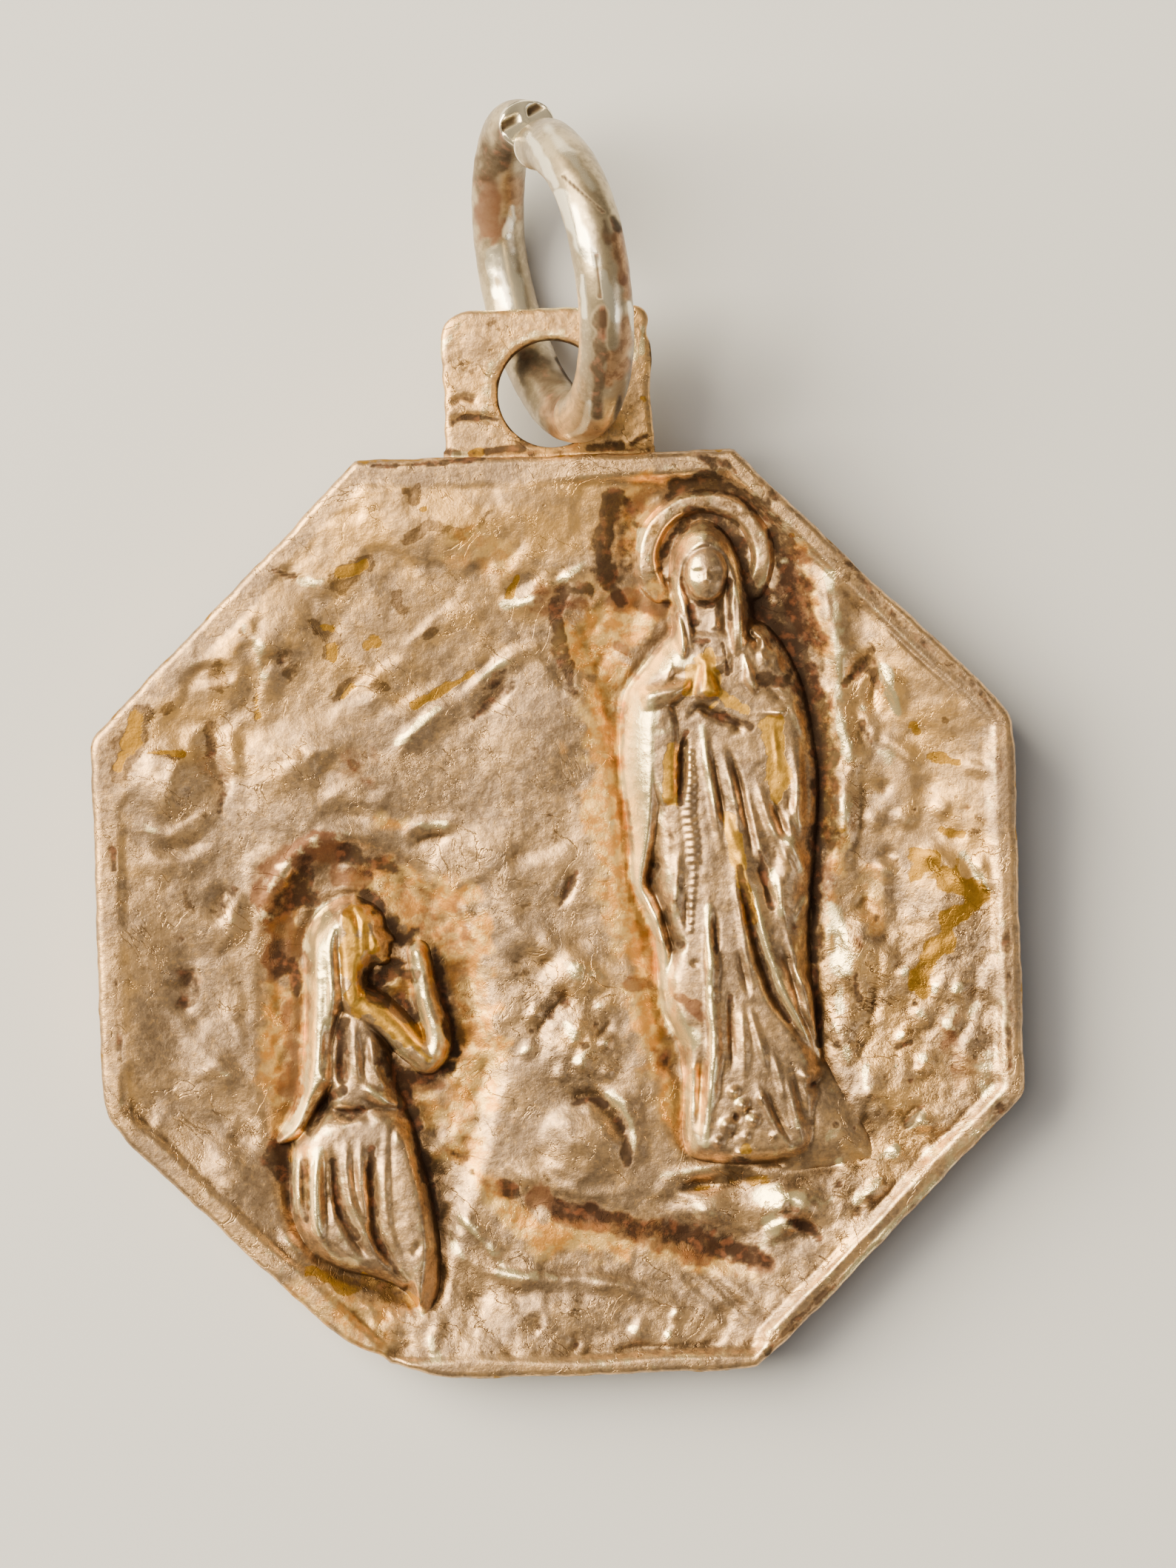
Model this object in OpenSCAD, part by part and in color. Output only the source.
// Small octagonal religious medal at rest on a flat surface: a plate with a flat rim, a relief of a
// standing and a kneeling figure in a rocky grotto, an eye on its top edge and a jump ring in the eye.
// Millimetres, +Z up. The ring's low side and the plate's bottom edge touch Z = 0, so the plate leans.

/* [Plate] */
// Width of the octagon across its flats
plate_w = 18; // [17:0.5:19]
// Thickness of the plate at its rim
plate_t = 1.5; // [1.4:0.05:1.6]
// Radius of the octagon's rounded corners
corner_r = 0.35; // [0.2:0.05:0.6]
// Width of the flat rim round the relief
rim_w = 0.5; // [0.4:0.05:0.6]

/* [Relief] */
// Height of the flat field above the back
field_z = 1.22; // [1.15:0.01:1.3]
// Rise of the standing figure's chest above the field
standing_rise = 0.78; // [0.6:0.02:0.9]
// Rise of the kneeling figure's shoulder above the field
kneeling_rise = 0.7; // [0.5:0.02:0.8]
// Rise of the rocks above the field
rock_rise = 0.24; // [0.1:0.02:0.3]
// Depth of the two hollows that the figures stand in
hollow_depth = 0.2; // [0.1:0.02:0.25]

/* [Eye] */
// Width of the eye
eye_w = 4.1; // [3.8:0.1:4.4]
// Height of the eye above the plate's edge
eye_h = 2.85; // [2.7:0.05:3]
// Thickness of the eye
eye_t = 0.9; // [0.8:0.05:0.95]
// Radius of the eye's two outer corners
eye_corner_r = 0.6; // [0.3:0.1:0.8]
// Radius of the eye's hole
hole_r = 1.04; // [1.03:0.01:1.08]

/* [Jump ring] */
// Radius of the ring's centreline
ring_r = 2.9; // [2.88:0.02:2.92]
// Radius of the ring's wire
wire_r = 0.53; // [0.51:0.005:0.535]
// Angle between the ring's plane and the line square to the plate
ring_lean = 18.5; // [18:0.5:19]
// Turn of the ring's long way about that line
ring_turn = 9; // [8.5:0.5:9.5]
// Opening of the cut through the wire, in degrees round the ring
ring_cut = 5; // [3:1:8]

/* [Hidden] */
$fn = 64;

// The relief is drawn for a plate of this width and grows with it
DRAWN_W = 18;
grow = plate_w / DRAWN_W;
half_w = plate_w / 2;
pocket_r = half_w - rim_w;
// Floor of the pocket in the plate, and the stretch by which the relief's body reaches into floor and rim
pocket_z = 0.7;
seat = 0.05;
relief_r = pocket_r + seat;
// Height of the relief along the rim, and the width over which it comes to that height
edge_z = plate_t - 0.16;
edge_blend = 0.45;
// Columns of the relief's net in each stretch of a row: left of the kneeling figure, on it, between the
// figures, on the standing figure and right of it
STRETCHES = [9, 14, 18, 19, 12];
// Rows of the net past each slanted side and between them
SLANT_ROWS = 20;
MIDDLE_ROWS = 29;
// Least half width of the stretch on a figure, and the share of a row that the figures' stretches stay in
LEAST_STRETCH = 0.6;
FIGURES_SHARE = 0.85;
// Half the angle of one side of an octagon, and half of its side over its flat radius
SIDE_HALF = 22.5;
OCT = tan(SIDE_HALF);
// Corner radius of the pocket, and straight steps on each side of a rounded corner's middle
pocket_corner_r = 0.01;
CORNER_STEPS = 2;

// The eye's middle and its hole, from the plate's middle line and edge
eye_x = 0.1;
eye_z = 0.3;
eye_root = 0.3;
hole_x = 0.17;
hole_y = half_w + 1.16;

// The ring's middle, above the plate's back
ring_middle = [0.25, half_w + 3.58, 2.05];

// Sections of the standing figure, top to hem: y, left edge, right edge, share of the rise
STANDING = [
    [7.62, 2.92, 3.22, 0.55], [7.45, 2.66, 3.45, 0.8], [7.1, 2.5, 3.6, 0.92], [6.6, 2.42, 3.72, 0.98],
    [6.0, 2.52, 3.85, 0.9], [5.5, 2.5, 4.15, 0.86], [5.0, 2.0, 4.58, 0.95], [4.5, 1.6, 4.82, 1.0],
    [4.0, 1.4, 4.95, 1.0], [3.0, 1.33, 5.08, 1.0], [2.0, 1.48, 5.1, 0.97], [0.7, 1.52, 5.02, 0.94],
    [0.0, 1.75, 4.93, 0.92], [-0.5, 1.95, 4.86, 0.9], [-1.0, 2.1, 4.88, 0.88], [-1.5, 1.98, 4.93, 0.86],
    [-2.6, 2.28, 5.03, 0.82], [-3.3, 2.38, 5.15, 0.78], [-4.2, 2.4, 5.0, 0.74], [-4.9, 2.6, 4.55, 0.55]
];
// Sections of the kneeling figure's head, back and skirt, top to hem: y, left edge, right edge, share of
// the rise
KNEELING = [
    [0.55, -4.2, -3.75, 0.5], [0.3, -4.55, -3.35, 0.85], [0.0, -4.75, -3.12, 0.98],
    [-0.4, -4.86, -3.05, 1.0], [-0.85, -4.86, -3.25, 0.92], [-1.15, -4.86, -3.62, 0.9],
    [-1.6, -4.86, -3.5, 0.95], [-2.1, -4.88, -3.1, 1.0], [-2.6, -4.92, -3.2, 0.98],
    [-3.1, -4.97, -3.2, 0.92], [-3.6, -5.15, -3.1, 0.88], [-4.2, -5.5, -2.9, 0.9],
    [-5.0, -5.36, -2.7, 0.88], [-5.8, -5.28, -2.58, 0.84], [-6.5, -5.08, -2.5, 0.78],
    [-6.95, -4.4, -2.53, 0.7], [-7.35, -3.7, -2.65, 0.6], [-7.65, -3.1, -2.85, 0.45]
];
// Sections of the hollow round the standing figure: y, left edge, right edge, share of the depth
TALL_HOLLOW = [
    [8.5, 2.5, 3.7, 0.6], [8.1, 1.45, 4.4, 1.0], [7.4, 1.05, 4.85, 1.0], [6.4, 0.95, 5.35, 1.0],
    [5.0, 0.55, 5.6, 0.9], [3.5, 0.8, 5.6, 0.9], [1.5, 1.0, 5.7, 0.9], [-1.0, 1.1, 5.5, 0.8],
    [-3.0, 1.5, 5.5, 0.6], [-4.8, 1.9, 5.3, 0.3]
];
// Sections of the arched hollow round the kneeling figure: y, left edge, right edge, share of the depth
ARCH_HOLLOW = [
    [1.6, -4.6, -3.3, 0.6], [1.2, -5.2, -2.7, 1.0], [0.6, -5.65, -2.1, 1.0], [-0.5, -5.95, -1.45, 1.0],
    [-2.5, -5.9, -1.05, 1.0], [-4.2, -5.95, -1.3, 0.9], [-5.6, -5.8, -1.7, 0.6], [-7.0, -5.4, -2.2, 0.4],
    [-7.9, -4.2, -2.6, 0.2]
];
// Lines of the standing figure: half width, rise (a groove's is below nought), points
STANDING_LINES = [
    [0.3, 0.16, [[1.75, 4.2], [1.62, 3.0], [1.75, 1.6]]],
    [0.28, 0.14, [[2.1, 4.3], [2.6, 4.5], [3.0, 4.9]]],
    [0.34, 0.16, [[3.0, 5.1], [3.02, 4.2]]],
    [0.34, 0.18, [[4.5, 4.4], [4.35, 3.4], [4.25, 2.4]]],
    [0.22, -0.18, [[2.5, 3.6], [2.48, 2.0]]],
    [0.24, 0.1, [[3.05, 2.6], [3.35, 1.2], [3.75, -0.3], [4.1, -1.4]]],
    [0.2, -0.17, [[3.5, 0.9], [3.78, -0.4], [4.3, -1.8], [5.0, -3.1]]],
    [0.24, 0.12, [[2.92, 0.4], [2.92, -2.6], [2.72, -4.5]]],
    [0.16, -0.14, [[2.68, -0.8], [2.66, -4.2]]],
    [0.2, 0.1, [[2.45, -2.2], [2.42, -4.3]]],
    [0.18, -0.12, [[3.3, -1.4], [3.32, -3.4]]],
    [0.2, 0.1, [[3.5, -0.5], [3.8, -2.2], [4.05, -4.1]]],
    [0.2, 0.1, [[4.2, -2.6], [4.65, -4.5]]],
    [0.22, 0.1, [[4.4, 1.6], [4.8, 0.4], [4.75, -1.2]]],
    [0.2, -0.2, [[2.62, 5.6], [2.72, 6.5]]],
    [0.2, -0.2, [[3.62, 5.5], [3.52, 6.5]]]
];
// Lines of the kneeling figure: half width, rise, points
KNEELING_LINES = [
    [0.28, 0.1, [[-4.35, 0.2], [-4.45, -1.4], [-4.6, -3.2]]],
    [0.2, -0.16, [[-4.2, -1.9], [-4.3, -3.1]]],
    [0.2, -0.2, [[-3.75, 0.2], [-3.74, -1.1]]],
    [0.22, 0.12, [[-5.15, -4.3], [-5.1, -5.8]]],
    [0.18, -0.14, [[-4.47, -4.4], [-4.4, -5.6], [-4.1, -6.3]]],
    [0.22, 0.1, [[-4.15, -4.2], [-4.1, -5.4], [-3.8, -6.5]]],
    [0.18, -0.15, [[-3.75, -4.3], [-3.76, -5.6], [-3.3, -7.0]]],
    [0.26, 0.12, [[-3.2, -4.1], [-3.05, -5.7], [-2.9, -7.2]]],
    [0.2, -0.16, [[-3.1, -3.7], [-4.4, -3.75]]]
];
// Limbs that stand clear of the kneeling figure's body: half width, height above the field, points
ARMS = [
    [0.42, 0.66, [[-4.0, -1.55], [-3.3, -2.0], [-2.62, -2.62]]],
    [0.3, 0.6, [[-2.45, -2.75], [-2.5, -1.6], [-2.68, -0.5]]]
];
// Ridges, ledges and cracks of the rock: half width, rise, points
ROCK_LINES = [
    [0.45, 0.8, [[-3.3, 3.4], [-2.5, 4.2], [-1.2, 4.9], [-0.4, 5.3]]],
    [0.4, 0.8, [[-3.6, 4.7], [-0.9, 6.05], [1.0, 6.95]]],
    [0.45, 0.9, [[-5.4, 1.3], [-4.6, 1.85], [-3.4, 1.95], [-2.1, 1.7], [-1.4, 0.9]]],
    [0.5, 0.7, [[-7.5, -1.0], [-6.9, -2.4], [-6.0, -3.4]]],
    [0.45, 0.6, [[-7.6, 1.2], [-6.6, 0.6], [-6.2, -0.6]]],
    [0.3, -0.6, [[-6.6, 3.6], [-6.5, 2.4]]],
    [0.3, -0.6, [[-7.3, 0.0], [-7.1, -1.0]]],
    [0.5, 0.8, [[5.9, 7.2], [6.4, 5.4], [6.2, 3.6], [6.4, 1.6]]],
    [0.35, 0.7, [[6.0, 4.9], [6.5, 4.3]]],
    [0.5, 0.7, [[7.2, 1.4], [6.9, -0.6], [7.0, -2.8]]],
    [0.35, -0.5, [[6.3, 0.8], [6.1, -1.6], [6.4, -3.2]]],
    [0.45, 1.0, [[1.9, -5.05], [3.4, -4.95], [5.2, -5.1]]],
    [0.25, -0.7, [[2.0, -5.5], [3.9, -5.3]]],
    [0.4, -0.9, [[-1.8, -5.0], [0.0, -5.7], [2.0, -6.05], [3.9, -6.7]]],
    [0.35, 0.6, [[-2.3, -6.4], [-1.3, -6.8], [0.5, -7.0], [2.0, -7.5], [2.8, -8.2]]],
    [0.25, -0.6, [[0.1, -3.5], [0.95, -3.75], [1.35, -4.9]]],
    [0.3, 0.7, [[0.3, 0.9], [0.9, -0.6], [0.5, -2.2]]]
];
// Boulders and swells: x, y, half length, half width, turn, rise
BOULDERS = [
    [-7.5, 2.9, 0.95, 0.9, 0, 0.8], [-5.6, 5.4, 1.6, 1.1, 30, 0.7], [-4.8, 3.3, 1.4, 0.9, 20, 0.4],
    [-1.6, 7.6, 2.2, 0.9, 0, 0.5], [-0.6, 3.6, 1.9, 1.6, 40, 0.3], [0.4, -4.4, 1.0, 0.95, 0, 1.0],
    [0.3, -2.6, 0.9, 1.0, 0, 0.8], [0.2, -1.2, 0.7, 0.6, 0, 0.7], [6.9, 4.6, 1.9, 1.2, -50, 0.5],
    [7.4, 0.2, 0.9, 1.4, 10, 0.6], [6.2, -3.6, 1.2, 1.0, 0, 0.7], [5.9, -0.9, 0.5, 1.1, 0, 0.8],
    [4.2, -5.8, 1.1, 0.6, -10, 0.9], [2.8, -5.8, 0.9, 0.45, 0, 0.7], [-0.2, -7.5, 1.7, 0.9, 0, 0.5],
    [-6.6, -4.8, 1.0, 0.8, -40, 0.5], [-6.8, -2.6, 0.8, 0.9, 0, 0.4], [3.3, -4.6, 0.7, 0.35, 0, 1.0]
];
// Width of the steep flank of a raised body, and the share of its rise that is a round crown
FLANK = 0.32;
CROWN = 0.34;
// The halo's middle, its band's middle radius, half width and rise, and the height below which it is open
HALO_MIDDLE = [3.05, 6.9];
HALO_R = 1.12;
HALO_HALF = 0.26;
HALO_RISE = 0.42;
HALO_FOOT = 6.2;

// A smooth step from 0 to 1
function ease(t) = t <= 0 ? 0 : t >= 1 ? 1 : t * t * (3 - 2 * t);

// A smooth bump: 1 in its middle, 0 from u = 1 on
function bump(u) = u >= 1 ? 0 : pow(1 - u * u, 2);

// A rounded back with steep flanks, at a share u of its half width from its middle
function back(u, half) =
    u >= 1 ? 0 : (1 - CROWN) * ease((1 - u) * half / FLANK) + CROWN * (1 - u * u);

// Distance from point p to the stretch from a to b
function to_stretch(p, a, b) =
    let (ab = b - a, t = max(0, min(1, (p - a) * ab / (ab * ab)))) norm(p - a - t * ab);

// Distance from point p to a line of points
function to_line(p, line) = min([for (i = [1 : len(line) - 1]) to_stretch(p, line[i - 1], line[i])]);

// Whether point p lies within a margin of a line's box
function by_line(p, line, margin) =
    p.x > min([for (q = line) q.x]) - margin && p.x < max([for (q = line) q.x]) + margin &&
    p.y > min([for (q = line) q.y]) - margin && p.y < max([for (q = line) q.y]) + margin;

// Total rise of a table of lines at p
function lines_at(p, lines, i = 0, total = 0) =
    i == len(lines) ? total :
    lines_at(p, lines, i + 1, total + (by_line(p, lines[i][2], lines[i][0]) ?
        lines[i][1] * bump(to_line(p, lines[i][2]) / lines[i][0]) : 0));

// Section at a height y, between the rows of a table of sections
function section(y, table) =
    y >= table[0][0] ? table[0] :
    y <= table[len(table) - 1][0] ? table[len(table) - 1] :
    let (
        i = [for (i = [0 : len(table) - 2]) if (y >= table[i + 1][0]) i][0],
        t = (table[i][0] - y) / (table[i][0] - table[i + 1][0])
    ) table[i] + t * (table[i + 1] - table[i]);

// Share of the rise of a body drawn by sections, with round flanks, at p
function body_at(p, table) =
    p.y > table[0][0] || p.y < table[len(table) - 1][0] ? 0 :
    let (
        row = section(p.y, table),
        u = abs(2 * p.x - row[1] - row[2]) / (row[2] - row[1])
    ) row[3] * back(u, (row[2] - row[1]) / 2);

// Height of one limb above the field at p
function limb_at(p, limb) =
    by_line(p, limb[2], limb[0]) ? limb[1] * back(min(1, to_line(p, limb[2]) / limb[0]), limb[0]) : 0;

// Total rise of the boulders at p
function boulders_at(p, i = 0, total = 0) =
    i == len(BOULDERS) ? total :
    let (
        b = BOULDERS[i],
        q = p - [b[0], b[1]],
        along = (q.x * cos(b[4]) + q.y * sin(b[4])) / b[2],
        across = (q.y * cos(b[4]) - q.x * sin(b[4])) / b[3]
    ) boulders_at(p, i + 1, total + b[5] * bump(norm([along, across])));

// Height of the halo's band above the field at p
function halo_at(p) =
    p.y < HALO_FOOT ? 0 : HALO_RISE * bump(abs(norm(p - HALO_MIDDLE) - HALO_R) / HALO_HALF);

// Height above the field of the drawn relief at p
function drawn(p) =
    let (
        hollow = -hollow_depth * min(1, max(body_at(p, TALL_HOLLOW), body_at(p, ARCH_HOLLOW))),
        rock = rock_rise * (boulders_at(p) + lines_at(p, ROCK_LINES)),
        stand = body_at(p, STANDING),
        kneel = body_at(p, KNEELING),
        standing = stand == 0 ? -1 :
            standing_rise * stand + min(1, 2 * stand) * lines_at(p, STANDING_LINES),
        kneeling = kneel == 0 ? -1 :
            kneeling_rise * kneel + min(1, 2 * kneel) * lines_at(p, KNEELING_LINES)
    ) max(hollow + rock, standing, kneeling, limb_at(p, ARMS[0]), limb_at(p, ARMS[1]), halo_at(p));

// Distance from a point inside the relief's octagon to its rim
function to_rim(p) = relief_r - max(abs(p.x), abs(p.y), (abs(p.x) + abs(p.y)) / sqrt(2));

// Height of the relief's face above the back
function face_z(p) =
    let (share = ease(to_rim(p) / edge_blend))
    share == 0 ? edge_z : edge_z + share * (field_z + drawn(p / grow) - edge_z);

// Half width of the relief's octagon at a height y
function reach(y) = min(relief_r, relief_r * sqrt(2) - abs(y));

// Heights of the net's rows, bottom to top, with a row at each corner of the octagon
ROW_Y = concat(
    [for (i = [0 : SLANT_ROWS - 1]) relief_r * (-1 + (1 - OCT) * i / SLANT_ROWS)],
    [for (i = [0 : MIDDLE_ROWS]) relief_r * OCT * (-1 + 2 * i / MIDDLE_ROWS)],
    [for (i = [1 : SLANT_ROWS]) relief_r * (OCT + (1 - OCT) * i / SLANT_ROWS)]
);
ROWS = len(ROW_Y) - 1;
COLUMNS = STRETCHES * [1, 1, 1, 1, 1];
PER_ROW = COLUMNS + 1;

// Middle of a figure's stretch at a height y, and its half width
function stretch(y, table) =
    let (row = section(y / grow, table))
    grow * [(row[1] + row[2]) / 2, max(LEAST_STRETCH, (row[2] - row[1]) / 2)];

// Ends of the stretches of the row at a height y, so that the net's columns follow both figures' outlines
function stops(y) =
    let (
        kneel = stretch(y, KNEELING),
        stand = stretch(y, STANDING),
        far = FIGURES_SHARE * reach(y),
        a = max(-far, kneel[0] - kneel[1]),
        b = max(a + LEAST_STRETCH, kneel[0] + kneel[1]),
        d = min(far, stand[0] + stand[1]),
        c = min(d - LEAST_STRETCH, stand[0] - stand[1])
    ) [-reach(y), a, b, c, d, reach(y)];

// Places of all the columns in the row at a height y
function row_x(y) =
    let (s = stops(y))
    [for (k = [0 : 4], j = [0 : STRETCHES[k] - (k < 4 ? 1 : 0)])
        s[k] + (s[k + 1] - s[k]) * j / STRETCHES[k]];

// Number of a point of the net's face, and of its floor's left or right edge
function at(row, column) = row * PER_ROW + column;
function foot(row, side) = (ROWS + 1) * PER_ROW + 2 * row + side;

// The ring's axis, and its middle as seen from the plate's bottom edge
ring_axis = [cos(ring_turn) * cos(ring_lean), sin(ring_turn) * cos(ring_lean), -sin(ring_lean)];
ring_from_foot = ring_middle + [0, half_w, 0];

// How far the whole ring reaches from its middle along a direction
function ring_reach(d) = ring_r * sqrt(1 - pow(ring_axis * d, 2)) + wire_r;

// Lean at which the plate's bottom edge and the ring's low side are level, found in a few steps
function lean(steps, guess) =
    steps == 0 ? guess :
    lean(steps - 1, asin(
        (ring_reach([0, sin(guess), cos(guess)]) - ring_from_foot.z * cos(guess)) / ring_from_foot.y));
tilt = lean(12, 3);

// Ends of the whole object along Y, as seen from the plate's bottom edge
y_low = -plate_t * sin(tilt);
y_high = ring_from_foot * [0, cos(tilt), -sin(tilt)] + ring_reach([0, cos(tilt), -sin(tilt)]);

// Leans what is drawn on the plate into its resting place
module at_rest() {
    translate([0, -(y_low + y_high) / 2, 0])
        rotate([tilt, 0, 0])
            translate([0, half_w, 0])
                children();
}

// A direction in the plane of the plate
function towards(angle) = [cos(angle), sin(angle)];

// Outline of an octagon with rounded corners
module octagon(flat_r, round_r) {
    corner = (flat_r - round_r) / cos(SIDE_HALF);
    polygon([for (k = [0 : 7], s = [-CORNER_STEPS : CORNER_STEPS])
        let (middle = SIDE_HALF * (2 * k + 1))
        corner * towards(middle) + round_r * towards(middle + SIDE_HALF * s / CORNER_STEPS)]);
}

// The plate with its flat rim, and a pocket that the relief fills
module plate() {
    difference() {
        linear_extrude(plate_t) octagon(half_w, corner_r);
        translate([0, 0, pocket_z])
            linear_extrude(plate_t) octagon(pocket_r, pocket_corner_r);
    }
}

// The relief: a net of triangles on top of straight walls that reach into the plate
module relief() {
    face = [for (y = ROW_Y) for (x = row_x(y)) [x, y, face_z([x, y])]];
    floor_edge = [for (y = ROW_Y, side = [-1, 1]) [side * reach(y), y, pocket_z - seat]];
    triangles = [for (i = [0 : ROWS - 1], j = [0 : COLUMNS - 1], half = [0, 1])
        half == 0 ? [at(i, j), at(i + 1, j), at(i + 1, j + 1)]
            : [at(i, j), at(i + 1, j + 1), at(i, j + 1)]];
    floor_strips = [for (i = [0 : ROWS - 1]) [foot(i, 0), foot(i, 1), foot(i + 1, 1), foot(i + 1, 0)]];
    left_wall = [for (i = [0 : ROWS - 1]) [foot(i, 0), foot(i + 1, 0), at(i + 1, 0), at(i, 0)]];
    right_wall = [for (i = [0 : ROWS - 1])
        [foot(i, 1), at(i, COLUMNS), at(i + 1, COLUMNS), foot(i + 1, 1)]];
    bottom_wall = concat([foot(0, 1), foot(0, 0)], [for (j = [0 : COLUMNS]) at(0, j)]);
    top_wall = concat([foot(ROWS, 0), foot(ROWS, 1)], [for (j = [COLUMNS : -1 : 0]) at(ROWS, j)]);
    polyhedron(
        concat(face, floor_edge),
        concat(triangles, floor_strips, left_wall, right_wall, [bottom_wall, top_wall])
    );
}

// The pierced eye, soldered to the plate's top edge
module eye() {
    left = eye_x - eye_w / 2;
    right = eye_x + eye_w / 2;
    top = half_w + eye_h;
    difference() {
        translate([0, 0, eye_z])
            linear_extrude(eye_t)
                polygon(concat(
                    [[left, half_w - eye_root], [right, half_w - eye_root]],
                    [for (a = [0 : 15 : 90]) [right, top] + eye_corner_r * (towards(a) - [1, 1])],
                    [for (a = [90 : 15 : 180]) [left, top] + eye_corner_r * (towards(a) - [-1, 1])]
                ));
        translate([hole_x, hole_y, 0])
            cylinder(r = hole_r, h = plate_t);
    }
}

module medal() {
    color("Silver")
        at_rest()
            union() {
                plate();
                relief();
                eye();
            }
}

// The round jump ring, cut once at its top
module jump_ring() {
    color("Gainsboro")
        at_rest()
            translate(ring_middle)
                rotate([0, 0, ring_turn])
                    rotate([0, 90 + ring_lean, 0])
                        rotate([0, 0, 90 + ring_cut / 2])
                            rotate_extrude(angle = 360 - ring_cut)
                                translate([ring_r, 0]) circle(wire_r);
}

medal();
jump_ring();
